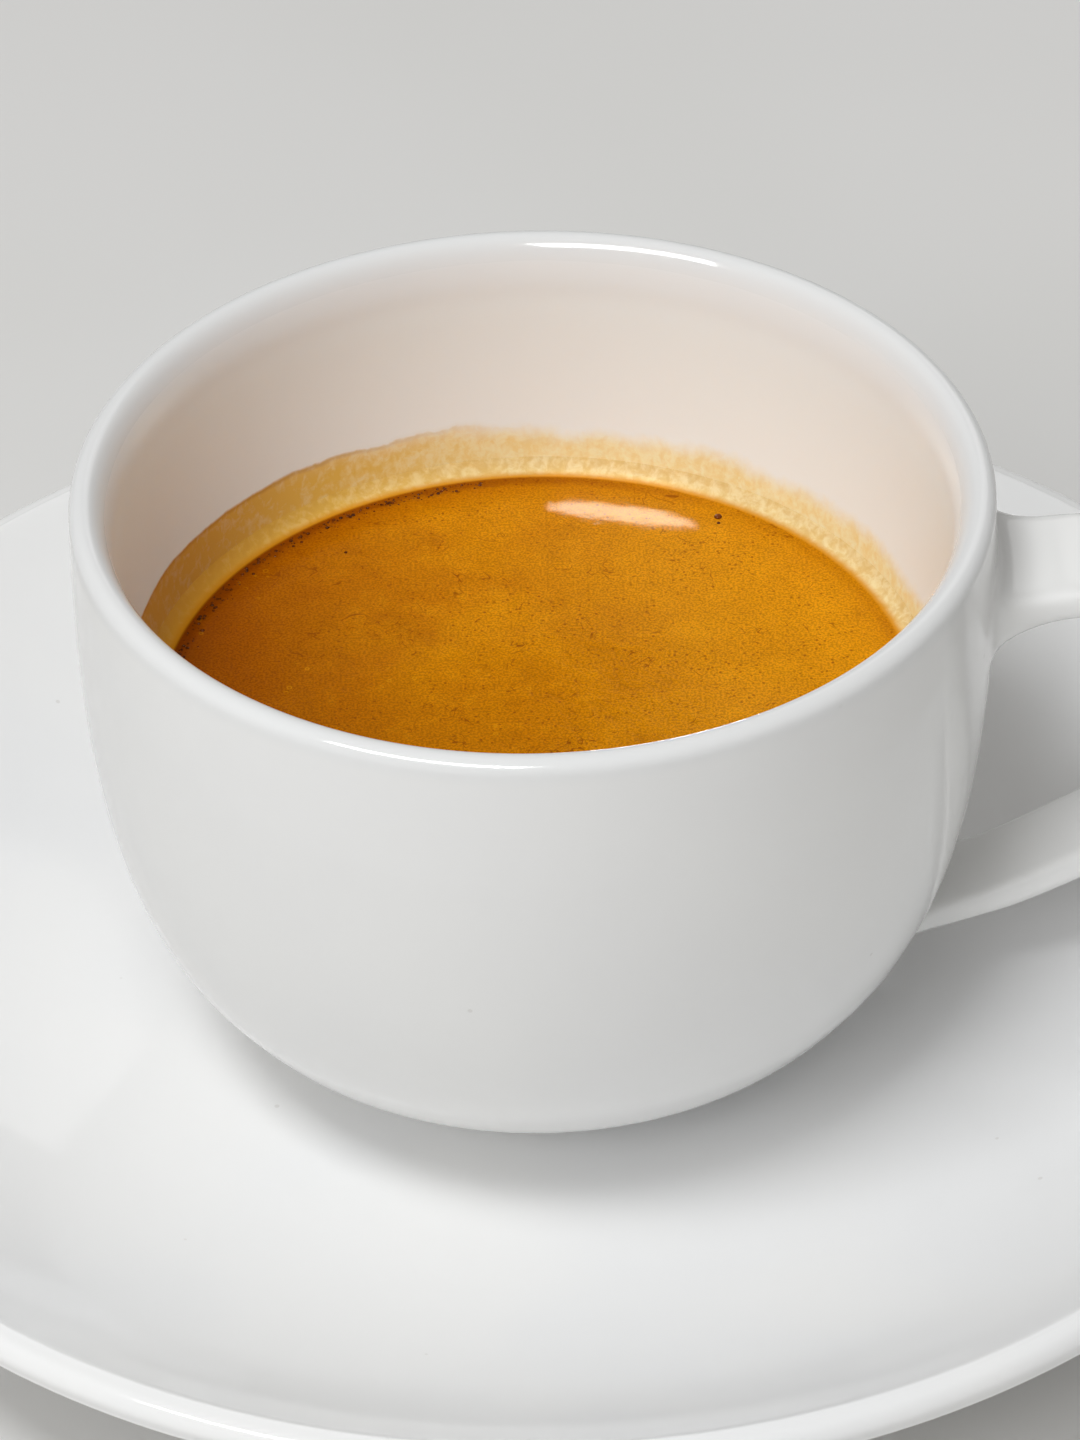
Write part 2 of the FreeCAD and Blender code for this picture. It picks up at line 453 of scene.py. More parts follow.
@dataclass(frozen=True)
class FilmStain:
    """The dried film of crema on the bowl's wall, and where the drink meets it. Millimetres."""

    edge_radius: float = 29.3
    bowl_radius: float = 33.6
    bottom: float = 31.0
    top: float = 37.9
    left_start: float = 4.0
    left_end: float = -24.0
    left_rise: float = 0.9
    left_calm: float = 0.75
    drift_height: float = 2.88
    ragged_height: float = 1.35
    pale: Colour = (0.94, 0.84, 0.50)
    strong: Colour = (0.84, 0.54, 0.10)
    amber: Colour = (0.60, 0.25, 0.006)
    rim_line: Colour = (0.46, 0.19, 0.03)
    far_left: Colour = (0.60, 0.245, 0.006)
    pooled: Colour = (0.52, 0.275, 0.06)

    def lay(self, net: Net, pooling: float = 0.0) -> tuple[Socket, Socket]:
        """Wire the film's colour and where it lies. It ends softly, and at the left with a firm edge.

        Args:
            net: The material it is part of.
            pooling: How far it has run together into a thicker layer, from 0 to 1.

        Returns:
            Sockets for the colour, and for the cover from 0 to 1.
        """
        x, _, z, out = net.axes()
        left = net.fade(x, self.left_start * MM, self.left_end * MM)
        height = self._height(net, z, left)
        patches = net.clouds(0.9 * MM, 5.0, 0.65, 0.4)
        pool = net.fade(patches, 0.32, 0.68, 0.75 * pooling, 1.25 * pooling)
        low = net.fade(out, (self.edge_radius + 0.8) * MM, (self.edge_radius + 0.1) * MM, 0.0, 0.95)
        line = net.fade(height, (self.top - 0.5) * MM, (self.top - 0.12) * MM, 0.0, 0.5)
        tint = net.coat(
            self._body(net, patches, left),
            (pool, self.pooled),
            (low, self.amber),
            (net.times(line, left), self.rim_line),
            (net.fade(x, -16 * MM, -30 * MM, 0.0, 0.7), self.far_left),
        )
        within = net.fade(out, self.bowl_radius * MM, (self.bowl_radius - 0.6) * MM)
        above = net.fade(z, self.bottom * MM, (self.bottom + 1.0) * MM)
        thin = net.fade(patches, 0.30, 0.52, 0.90, 1.0)
        soft = net.fade(height, (self.top + 0.7) * MM, (self.top - 1.5) * MM)
        firm = net.fade(height, (self.top + 0.18) * MM, (self.top - 0.12) * MM)
        ends = net.plus(net.times(soft, net.minus(1.0, left)), net.times(firm, left))
        cover = net.times(ends, net.times(within, above))
        return tint, net.times(cover, thin)

    def _height(self, net: Net, z: Socket, left: Socket) -> Socket:
        """Wire the height that the film's upper edge follows, more ragged away from the left.

        Args:
            net: The material it is part of.
            z: The true height.
            left: How far to the left a place is, from 0 to 1.

        Returns:
            The height's socket.
        """
        drift = net.minus(net.clouds(9 * MM, 2.0, 0.55), 0.5)
        ragged = net.minus(net.clouds(2.2 * MM, 3.0, 0.6, 0.4), 0.5)
        waver = net.plus(net.times(drift, self.drift_height * MM), net.times(ragged, self.ragged_height * MM))
        calm = net.minus(1.0, net.times(left, self.left_calm))
        height = net.plus(z, net.times(waver, calm))
        return net.minus(height, net.times(left, self.left_rise * MM))

    def _body(self, net: Net, patches: Socket, left: Socket) -> Socket:
        """Wire the film's own colour, mottled, and stronger towards the left.

        Args:
            net: The material it is part of.
            patches: The mottle's noise.
            left: How far to the left a place is, from 0 to 1.

        Returns:
            The colour's socket.
        """
        streaks = net.clouds(0.8 * MM, 3.0, 0.55, 0.3, net.stretched((1.0, 1.0, 0.45)))
        body = net.fade(net.plus(patches, net.times(streaks, 0.6)), 0.62, 0.98, 0.0, 0.42)
        thick = net.plus(body, net.times(left, 0.8))
        return net.coat(self.pale, (net.calc("MINIMUM", thick, 1.0), self.strong))


@dataclass(frozen=True)
class Glaze:
    """A white glaze with a faint ripple and a few pits."""

    name: str
    tone: Colour = (0.86, 0.86, 0.855)
    cooler: Colour = (0.835, 0.84, 0.845)
    pit: Colour = (0.55, 0.53, 0.50)
    roughness: float = 0.07
    ripple: float = 0.010

    def wire(self) -> Net:
        """Wire the glaze.

        Returns:
            The material's net.
        """
        net = Net(self.name)
        pool = net.fade(net.clouds(26 * MM, 2.0, 0.5), 0.35, 0.7)
        pits = net.fade(net.cells(7 * MM), 0.035, 0.02, 0.0, 0.35)
        colour = net.coat(self.tone, (pool, self.cooler), (pits, self.pit))
        dull = net.clouds(5 * MM, 3.0, 0.5)
        rough = net.fade(dull, 0.3, 0.7, self.roughness, self.roughness + 0.03)
        colour, rough = self._vary(net, colour, rough)
        wave = net.relief(net.clouds(11 * MM, 1.0, 0.4), self.ripple * MM)
        return net.surface({"Base Color": colour, "Roughness": rough, "IOR": 1.5, "Normal": wave})

    def _vary(self, net: Net, colour: Socket, rough: Socket) -> tuple[Socket, Socket]:
        """Change nothing: a plain glaze is the same all over."""
        return colour, rough


@dataclass(frozen=True)
class CupGlaze(Glaze):
    """The cup's glaze: a little darker than the saucer's as painted shade, darker still at the lip as painted
    shade, lighter and cooler inside as painted light, duller inside, and stained by the film.
    """

    # painted shade: the cup's glaze is a little darker than the saucer's same white glaze
    tone: Colour = (0.82, 0.82, 0.81)
    cooler: Colour = (0.80, 0.80, 0.795)
    # painted light: the inner wall's lighter, cooler colour
    inner_painted_light: Colour = (0.92, 0.985, 1.0)
    # painted shade: the lip's darker colour
    lip_painted_shade: Colour = (0.765, 0.77, 0.77)
    inner_dullness: float = 0.30
    film_dullness: float = 0.16
    film: FilmStain = field(default_factory=FilmStain)

    def _vary(self, net: Net, colour: Socket, rough: Socket) -> tuple[Socket, Socket]:
        """Wire the painted shade on the lip, the painted light on the inner wall, and the film on it.

        Args:
            net: The material it is part of.
            colour: The plain glaze's colour.
            rough: The plain glaze's roughness.

        Returns:
            Sockets for the colour and for the roughness.
        """
        _, _, z, out = net.axes()
        inside = net.times(net.fade(out, 33.8 * MM, 33.0 * MM), net.fade(z, 29 * MM, 31 * MM))
        # painted shade: the lip's crown is darkened
        lip = net.fade(z, 53.0 * MM, 54.6 * MM)
        # painted light: the inner wall below the lip is made lighter and cooler
        deep = net.times(inside, net.fade(z, 54.0 * MM, 49.0 * MM))
        tint, cover = self.film.lay(net)
        colour = net.coat(colour, (lip, self.lip_painted_shade), (deep, self.inner_painted_light), (cover, tint))
        below_lip = net.fade(z, 53.9 * MM, 53.3 * MM, 0.0, self.inner_dullness)
        rough = net.plus(rough, net.times(inside, below_lip))
        return colour, net.plus(rough, net.times(cover, self.film_dullness))


@dataclass(frozen=True)
class Crema:
    """Golden brown crema: mottled, grainy, speckled, darker round its edge, with painted shade on its left
    and a painted reflection on its right.
    """

    name: str
    film: FilmStain
    golden: Colour = (0.59, 0.220, 0.0005)
    deep: Colour = (0.50, 0.165, 0.0005)
    # lighter crema: for the mottle and the bubble rings, and for the painted reflection on the right
    light: Colour = (0.71, 0.305, 0.004)
    # darker crema: for the wide edge ring, and for the painted shade on the left
    left: Colour = (0.30, 0.066, 0.0003)
    fleck: Colour = (0.24, 0.06, 0.001)
    ring: Colour = (0.19, 0.034, 0.0005)
    pooling: float = 0.45
    roughness: float = 0.035

    def wire(self) -> Net:
        """Wire the crema.

        Returns:
            The material's net.
        """
        net = Net(self.name)
        _, _, _, out = net.axes()
        mottle = net.clouds(2.4 * MM, 4.0, 0.62, 0.5)
        colour = self._edge(net, self._marks(net, self._surface(net, mottle)), mottle)
        tint, _ = self.film.lay(net, self.pooling)
        edge = self.film.edge_radius
        onto_wall = net.fade(out, (edge - 0.15) * MM, (edge + 0.2) * MM)
        rough = net.fade(mottle, 0.3, 0.7, self.roughness, self.roughness + 0.03)
        fine = net.relief(net.clouds(0.5 * MM, 3.0, 0.6), 0.010 * MM)
        return net.surface({
            "Base Color": net.coat(colour, (onto_wall, tint)),
            "Roughness": net.plus(rough, net.times(onto_wall, 0.4)),
            "IOR": 1.35,
            "Specular IOR Level": 0.07,
            "Normal": net.relief(mottle, 0.03 * MM, fine),
        })

    def _surface(self, net: Net, mottle: Socket) -> Socket:
        """Wire the open surface, lighter to the right as a painted reflection and darker to the left as a
        painted shadow of the rim.

        Args:
            net: The material it is part of.
            mottle: The mottle's noise.

        Returns:
            The colour's socket.
        """
        x, _, _, _ = net.axes()
        drift = net.clouds(16 * MM, 3.0, 0.55, 0.6)
        grain = net.clouds(0.20 * MM, 1.0, 0.6)
        colour = net.coat(
            self.golden,
            (net.fade(drift, 0.32, 0.68), self.deep),
            # painted reflection: lighter towards the right
            (net.fade(x, 0 * MM, 16 * MM, 0.0, 0.4), self.light),
            (net.fade(mottle, 0.50, 0.80, 0.0, 0.35), self.light),
            (net.fade(mottle, 0.44, 0.24, 0.0, 0.18), self.fleck),
            # painted shade: darker towards the left, the shadow of the rim
            (net.fade(x, -5 * MM, -27 * MM, 0.0, 0.9), self.left),
        )
        colour = net.shade(colour, net.fade(grain, 0.34, 0.64, 0.76, 1.14))
        return net.shade(colour, net.fade(mottle, 0.30, 0.70, 0.96, 1.04))

    def _marks(self, net: Net, colour: Socket) -> Socket:
        """Wire curling dark streaks, crowds of fine specks, and pinhole bubbles as small pale rings.

        Args:
            net: The material it is part of.
            colour: What they lie on.

        Returns:
            The colour's socket.
        """
        swirl = net.minus(net.clouds(4.6 * MM, 2.0, 0.5, 1.9), 0.52)
        band = net.fade(net.calc("ABSOLUTE", swirl), 0.012, 0.004, 0.0, 0.8)
        shifted = net.stretched((1, 1, 1), (0.1, 0.2, 0.3))
        broken = net.fade(net.clouds(3.2 * MM, 2.0, 0.5, 0.0, shifted), 0.54, 0.62)
        dots = net.fade(net.cells(0.62 * MM), 0.24, 0.13, 0.0, 0.75)
        crowd = net.fade(net.clouds(7 * MM, 2.0, 0.5), 0.36, 0.60, 0.35, 1.0)
        far = net.cells(1.3 * MM)
        ring = net.times(net.fade(far, 0.10, 0.13), net.fade(far, 0.20, 0.16))
        some = net.fade(net.clouds(5 * MM, 1.0, 0.5), 0.55, 0.62, 0.0, 0.5)
        return net.coat(
            colour,
            (net.times(band, broken), self.fleck),
            (net.times(dots, crowd), self.fleck),
            (net.times(ring, some), self.light),
        )

    def _edge(self, net: Net, colour: Socket, mottle: Socket) -> Socket:
        """Wire the dark ring round the edge, wider and stronger at the far left.

        Args:
            net: The material it is part of.
            colour: The open surface's colour.
            mottle: The mottle's noise, which makes the ring uneven.

        Returns:
            The colour's socket.
        """
        x, y, _, out = net.axes()
        side = net.plus(net.times(x, -0.75), net.times(y, 0.66))
        far_left = net.fade(side, 2 * MM, 28 * MM, 0.3, 1.0)
        near_edge = net.plus(out, net.times(net.minus(mottle, 0.5), 1.6 * MM))
        wide = net.times(net.fade(near_edge, 25 * MM, 28.6 * MM, 0.0, 0.45), far_left)
        dark = net.times(net.fade(near_edge, 27.8 * MM, 28.8 * MM, 0.0, 0.65), far_left)
        return net.coat(colour, (wide, self.left), (dark, self.ring))


@dataclass(frozen=True)
class BubbleSkin:
    """The thin glossy skin of a coffee bubble."""

    name: str
    thin: Colour = (0.16, 0.034, 0.001)
    thick: Colour = (0.06, 0.012, 0.0005)

    def wire(self) -> Net:
        """Wire the skin.

        Returns:
            The material's net.
        """
        net = Net(self.name)
        patches = net.fade(net.clouds(0.8 * MM, 2.0, 0.5), 0.35, 0.65)
        colour = net.coat(self.thin, (patches, self.thick))
        rough = net.fade(patches, 0.0, 1.0, 0.05, 0.12)
        inputs = {"Base Color": colour, "Roughness": rough, "IOR": 1.35, "Specular IOR Level": 0.25}
        return net.surface(inputs)


@dataclass(frozen=True)
class TableTop:
    """A plain pale floor, matt, with a very faint unevenness."""

    name: str = "pale_floor"
    tone: Colour = (0.74, 0.735, 0.725)
    other: Colour = (0.72, 0.715, 0.70)

    def wire(self) -> Net:
        """Wire the floor.

        Returns:
            The material's net.
        """
        net = Net(self.name)
        patches = net.fade(net.clouds(90 * MM, 2.0, 0.5), 0.35, 0.65)
        colour = net.coat(self.tone, (patches, self.other))
        return net.surface({"Base Color": colour, "Roughness": 0.55})


# ---------------------------------------------------------------- the pieces


@dataclass
class Saucer:
    """A coupe dish of even wall on a foot ring. Millimetres."""

    foot_height: float = 3.0
    wall: float = 3.0
    well_radius: float = 26.0
    foot_radius: float = 37.0
    foot_width: float = 3.2
    foot_round: float = 0.8
    foot_lift: float = 0.01
    foot_edge: float = 1.9
    well_rings: Row = (6.0, 13.0, 19.0, 23.5)
    flat_rings: Row = (27.0, 20.0, 12.0, 5.0)
    levels: int = 2
    glaze: Glaze = field(default_factory=lambda: Glaze("saucer_white_glaze"))

    def profile(self) -> list[Ring]:
        """The dish's outline, from the middle of the well over the lip to the middle underneath.

        Returns:
            Radius and height of each ring.
        """
        low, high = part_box("saucer")
        half = self.wall / 2
        well = (self.well_radius, self.foot_height + half)
        lip = (high[0] / MM - half, high[2] / MM - half)
        tilt = 2 * math.atan2(lip[1] - well[1], lip[0] - well[0])
        sweep = (lip[0] - well[0]) / math.sin(tilt)
        middle = (well[0], well[1] + sweep)
        steep = math.degrees(tilt)
        top = [(radius, well[1] + half) for radius in self.well_rings]
        top += round_off(middle, sweep - half, -90.0, steep - 90.0, 11)
        edge = round_off(lip, half, steep + 90.0, steep - 90.0, 6)[1:]
        under = [spot for spot in round_off(middle, sweep + half, steep - 90.0, -90.0, 12)[1:]
                 if spot[0] > self.foot_radius + 1.6]
        return top + edge + under + self._foot(middle, sweep + half)

    @staticmethod
    def _under(radius: float, middle: Ring, sweep: float) -> Ring:
        """A ring on the dish's underside: a point of an arc of the given centre and radius."""
        return radius, middle[1] - math.sqrt(sweep**2 - (radius - middle[0]) ** 2)

    def _foot(self, middle: Ring, sweep: float) -> list[Ring]:
        """The foot ring and the flat inside it.

        Args:
            middle: The centre of the underside's arc.
            sweep: Its radius.

        Returns:
            Radius and height of each ring.
        """
        outer, inner, soft = self.foot_radius, self.foot_radius - self.foot_width, self.foot_round
        low = soft + self.foot_lift
        outside = [self._under(outer + 0.5, middle, sweep), self._under(outer, middle, sweep)]
        inside = [self._under(inner, middle, sweep), self._under(inner - 0.5, middle, sweep)]
        rings = [outside[0], (outer, outside[1][1] - 0.5), (outer, self.foot_edge)]
        rings += round_off((outer - soft, low), soft, 0.0, -90.0, 3)
        rings += round_off((inner + soft, low), soft, -90.0, -180.0, 3)
        rings += [(inner, self.foot_edge), (inner, inside[0][1] - 0.5), inside[1]]
        flat = [(radius, self.foot_height) for radius in self.flat_rings]
        return rings + [(inner - 2.5, self.foot_height + 0.2)] + flat

    def build(self) -> list[Piece]:
        """Turn, smooth and glaze the dish.

        Returns:
            The dish.
        """
        dish = Wheel("saucer_dish").turn(self.profile())
        smooth_out(dish, self.levels)
        self.glaze.wire().dress(dish)
        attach(dish, BODY)
        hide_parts("saucer")
        return [dish]


@dataclass
class Cup:
    """A round bowl on a low foot, with a strap handle drawn out of its wall. Millimetres."""

    rim_radius: float = 35.0
    lip_outer_round: float = 1.1
    lip_inner_round: float = 2.1
    lip_inner_depth: float = 5.0
    swell: float = 1.8
    side_fullness: float = 0.939
    base_fullness: float = 0.729
    inner_side_fullness: float = 0.8
    inner_base_fullness: float = 0.75
    floor_wall: float = 3.4
    foot_radius: float = 19.0
    foot_width: float = 2.4
    foot_recess: float = 0.8
    foot_round: float = 0.5
    foot_outside: tuple[Ring, ...] = ((0.35, 8.75), (0.0, 8.35), (0.0, 7.4))
    foot_inside: tuple[Ring, ...] = ((0.0, 7.5), (-0.5, 7.85))
    inner_shares: Row = (
        0.92, 0.84, 0.76, 0.68, 0.60, 0.52, 0.44, 0.36, 0.29, 0.22, 0.16, 0.11, 0.07, 0.04, 0.017
    )
    lip_rings: Row = (53.3, 52.0, 49.8)
    top_root: Row = (47.3, 45.0, 42.7)
    side_rings: Row = (40.3, 37.5, 34.2, 30.8, 27.6, 24.6, 21.8, 19.4, 17.4)
    low_root: Row = (0.478, 0.513, 0.548)
    base_shares: Row = (0.585, 0.625, 0.665)
    hollow_shares: Row = (0.79, 0.85, 0.91, 0.96)
    strap_thickness: float = 2.6
    top_width: float = 11.0
    bottom_width: float = 7.6
    edge_share: float = 0.72
    levels: int = 2
    strap: tuple[Triple, ...] = (
        (38.2, 45.4, 9.0), (42.2, 45.9, 3.0), (46.7, 45.2, -20.0), (50.6, 42.7, -43.5), (53.2, 39.0, -67.0),
        (54.1, 34.5, -90.0), (53.6, 30.6, -105.0), (52.1, 27.0, -120.0), (49.7, 23.8, -135.0),
        (46.6, 21.5, -150.0), (42.8, 19.3, -150.0), (38.9, 17.1, -150.0), (35.4, 15.4, -157.0),
        (31.9, 14.1, -163.0),
    )
    root_angle: float = 11.25
    glaze: Glaze = field(default_factory=lambda: CupGlaze("cup_white_glaze"))

    seat: float = field(init=False)
    rim: float = field(init=False)

    def __post_init__(self) -> None:
        """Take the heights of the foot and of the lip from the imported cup."""
        self.seat, self.rim = (corner[2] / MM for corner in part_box("cup"))

    def inner_poles(self) -> list[Ring]:
        """The control points of the bowl's inner curve.

        Returns:
            Four points, from under the lip to the axis.
        """
        top = self.rim - self.lip_inner_round
        radius = self.rim_radius - self.lip_outer_round - self.lip_inner_round
        floor = self.seat + self.foot_recess + self.floor_wall
        return [(radius, top), (radius, top - (top - floor) * self.inner_side_fullness),
                (radius * self.inner_base_fullness, floor), (0.0, floor)]

    def outer_poles(self) -> list[Ring]:
        """The control points of the bowl's outer curve.

        Returns:
            Four points, from under the lip to the axis.
        """
        top = self.rim - self.lip_outer_round
        base = self.seat + self.foot_recess
        swollen = (self.rim_radius + self.swell, top - (top - base) * self.side_fullness)
        return [(self.rim_radius, top), swollen, (self.rim_radius * self.base_fullness, base), (0.0, base)]

    def profile(self) -> list[Ring]:
        """The bowl's outline, from the middle of its floor over the lip to the middle underneath.

        Returns:
            Radius and height of each ring.
        """
        inner, outer = self.inner_poles(), self.outer_poles()
        rings = [curve_point(inner, share) for share in self.inner_shares]
        crown = self.rim_radius - self.lip_outer_round
        soft = self.rim - self.lip_inner_depth
        rings = [ring for ring in rings if ring[1] < soft - 0.8]
        stretch = self.lip_inner_depth / self.lip_inner_round
        rings += [(radius, soft + height * stretch)
                  for radius, height in round_off((crown, 0.0), self.lip_inner_round, 180.0, 90.0, 6)]
        rings += round_off((crown, outer[0][1]), self.lip_outer_round, 90.0, 0.0, 3)[1:]
        heights = (*self.lip_rings, *self.top_root, *self.side_rings)
        rings += [curve_point(outer, curve_share(outer, height)) for height in heights]
        rings += [curve_point(outer, share) for share in (*self.low_root, *self.base_shares)]
        return rings + self._foot(outer)

    def _foot(self, outer: Sequence[Ring]) -> list[Ring]:
        """The foot ring and the shallow hollow inside it.

        Args:
            outer: The control points of the bowl's outer curve.

        Returns:
            Radius and height of each ring.
        """
        wide, narrow = self.foot_radius, self.foot_radius - self.foot_width
        soft, seat = self.foot_round, self.seat
        rings = [(wide + out, height) for out, height in self.foot_outside]
        rings += round_off((wide - soft, seat + soft), soft, 0.0, -90.0, 3)
        rings += round_off((narrow + soft, seat + soft), soft, -90.0, -180.0, 3)
        rings += [(narrow + out, height) for out, height in self.foot_inside]
        return rings + [curve_point(outer, share) for share in self.hollow_shares]

    def build(self) -> list[Piece]:
        """Turn the bowl, draw the handle out of it, smooth and glaze it.

        Returns:
            The cup.
        """
        cup = Wheel("espresso_cup").turn(self.profile())
        self._draw_handle(cup)
        smooth_out(cup, self.levels)
        self.glaze.wire().dress(cup)
        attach(cup, BODY)
        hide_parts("cup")
        return [cup]

    def _root_faces(self, cup: Piece, top: float, bottom: float, add: bool = False) -> None:
        """Select the four by two faces of the outer wall that the handle joins.

        Args:
            cup: The cup in edit mode.
            top: The height of the root's upper edge.
            bottom: The height of its lower edge.
            add: Whether the selection grows.
        """
        def wanted(face: bmesh.types.BMFace) -> bool:
            """Whether a face lies at the root.

            Args:
                face: The face.

            Returns:
                True on the outer wall, between the root's edges.
            """
            spot = face.calc_center_median() / MM
            beside = abs(math.atan2(spot.y, spot.x)) < math.radians(self.root_angle)
            return beside and face.normal.x > 0.3 and bottom < spot.z < top

        pick(cup, wanted, add)

    def _draw_handle(self, cup: Piece) -> None:
        """Extrude the strap from the upper root through its stations and bridge it to the lower root.

        Args:
            cup: The cup in edit mode.
        """
        outer = self.outer_poles()
        line = drawn_through([spot[:2] for spot in self.strap])
        stations = [(x, z, spot[2]) for (x, z), spot in zip(line, self.strap)]
        crest, foot = max(spot[1] for spot in stations), min(spot[1] for spot in stations)
        wall = curve_point(outer, curve_share(outer, self.top_root[1]))
        self._root_faces(cup, self.top_root[0], self.top_root[2])
        last = (wall[0], self.top_root[1], 0.0)
        width = 2 * wall[0] * math.sin(math.radians(self.root_angle))
        for place, (x, z, heading) in enumerate(stations):
            spot = (x * MM, 0.0, z * MM)
            bpy.ops.mesh.extrude_region_move(
                TRANSFORM_OT_translate={"value": ((x - last[0]) * MM, 0.0, (z - last[1]) * MM)}
            )
            if place == 0:
                widen(0.0, spot, "X")
                widen(self.strap_thickness / (self.top_root[0] - self.top_root[2]), spot, "Z")
            goal = self.bottom_width + (self.top_width - self.bottom_width) * (z - foot) / (crest - foot)
            widen(goal / width, spot, "Y")
            if place == 0:
                self._crisp_edges(cup, spot, goal)
            tip(math.radians(heading - last[2]), spot)
            last, width = (x, z, heading), goal
        self._bridge_low_root(cup, outer)

    def _crisp_edges(self, cup: Piece, spot: Sequence[float], width: float) -> None:
        """Move the strap's two inner rows of points out towards its edges, so that they round off less.

        Args:
            cup: The cup in edit mode, with the strap's end selected.
            spot: The middle of the strap's end.
            width: Its width in millimetres.
        """
        half = width / 2 * MM
        bpy.ops.mesh.select_all(action="DESELECT")
        bpy.ops.mesh.select_mode(type="VERT")
        shape = bmesh.from_edit_mesh(cup.data)
        inner = [corner for corner in shape.verts
                 if abs(corner.co.x - spot[0]) < NEAR and 0.2 * half < abs(corner.co.y) < 0.8 * half]
        for corner in inner:
            corner.select_set(True)
        share = abs(inner[0].co.y) / half
        bmesh.update_edit_mesh(cup.data)
        widen(self.edge_share / share, spot, "Y")
        pick(cup, lambda face: all(abs(corner.co.x - spot[0]) < NEAR for corner in face.verts))

    def _bridge_low_root(self, cup: Piece, outer: Sequence[Ring]) -> None:
        """Join the strap's end to the bowl near its foot.

        Args:
            cup: The cup in edit mode, with the strap's end selected.
            outer: The control points of the bowl's outer curve.
        """
        top, _, bottom = (curve_point(outer, share)[1] for share in self.low_root)
        self._root_faces(cup, top, bottom, add=True)
        bpy.ops.mesh.bridge_edge_loops()
        bpy.ops.mesh.select_all(action="SELECT")
        bpy.ops.mesh.normals_make_consistent(inside=False)


@dataclass
class Drink:
    """The coffee, filling the bowl up to its level, with crema on top. Millimetres."""

    cup: Cup
    overlap: float = 0.25
    meniscus_run: float = 1.6
    meniscus_rise: float = 1.2
    meniscus_share: float = 0.88
    meniscus_curve: float = 2.6
    meniscus_rings: Row = (1.0, 0.9, 0.76, 0.6, 0.44, 0.26, 0.08)
    wall_rings: Row = (10.9, 12.2, 14.2, 17.0, 20.5, 24.5, 28.5, 32.0, 34.3)
    crema_rings: Row = (27.0, 24.0, 19.0, 13.0, 6.5)
    levels: int = 2
    film: FilmStain = field(default_factory=FilmStain)

    level: float = field(init=False)

    def __post_init__(self) -> None:
        """Take the height of the crema, away from the wall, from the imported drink."""
        self.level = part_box("espresso")[1][2] / MM - self.meniscus_rise

    def profile(self) -> list[Ring]:
        """The drink's outline, from the middle of the bowl's floor up the wall and in over the crema.

        Returns:
            Radius and height of each ring.
        """
        poles = self.cup.inner_poles()
        top = self.level + self.meniscus_rise
        rings = [(8.0, poles[-1][1]), (15.0, poles[-1][1] + 0.18)]
        rings += [self._wall(height) for height in (*self.wall_rings, top - 0.35)]
        wall = curve_point(poles, curve_share(poles, top))[0]
        rings.append((wall + self.overlap / 2, top - 0.01))
        start = wall - self.meniscus_run
        for share in self.meniscus_rings:
            climb = self.meniscus_share * self.meniscus_rise * share**self.meniscus_curve
            rings.append((start + self.meniscus_run * share, self.level + climb))
        return rings + [(radius, self.level) for radius in (start - 0.8, *self.crema_rings)]

    def _wall(self, height: float) -> Ring:
        """A ring that reaches a little into the bowl's wall."""
        poles = self.cup.inner_poles()
        return curve_point(poles, curve_share(poles, height))[0] + self.overlap, height

    def build(self) -> list[Piece]:
        """Turn the drink, smooth it and lay the crema on it.

        Returns:
            The drink.
        """
        drink = Wheel("espresso_drink").turn(self.profile())
        smooth_out(drink, self.levels)
        Crema("golden_crema", self.film).wire().dress(drink)
        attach(drink, BODY)
        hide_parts("espresso")
        return [drink]


@dataclass(frozen=True)
class Bubble:
    """A bubble: its place from the axis, its angle from +X, and its radius. Millimetres and degrees."""

    out: float
    turn: float
    radius: float


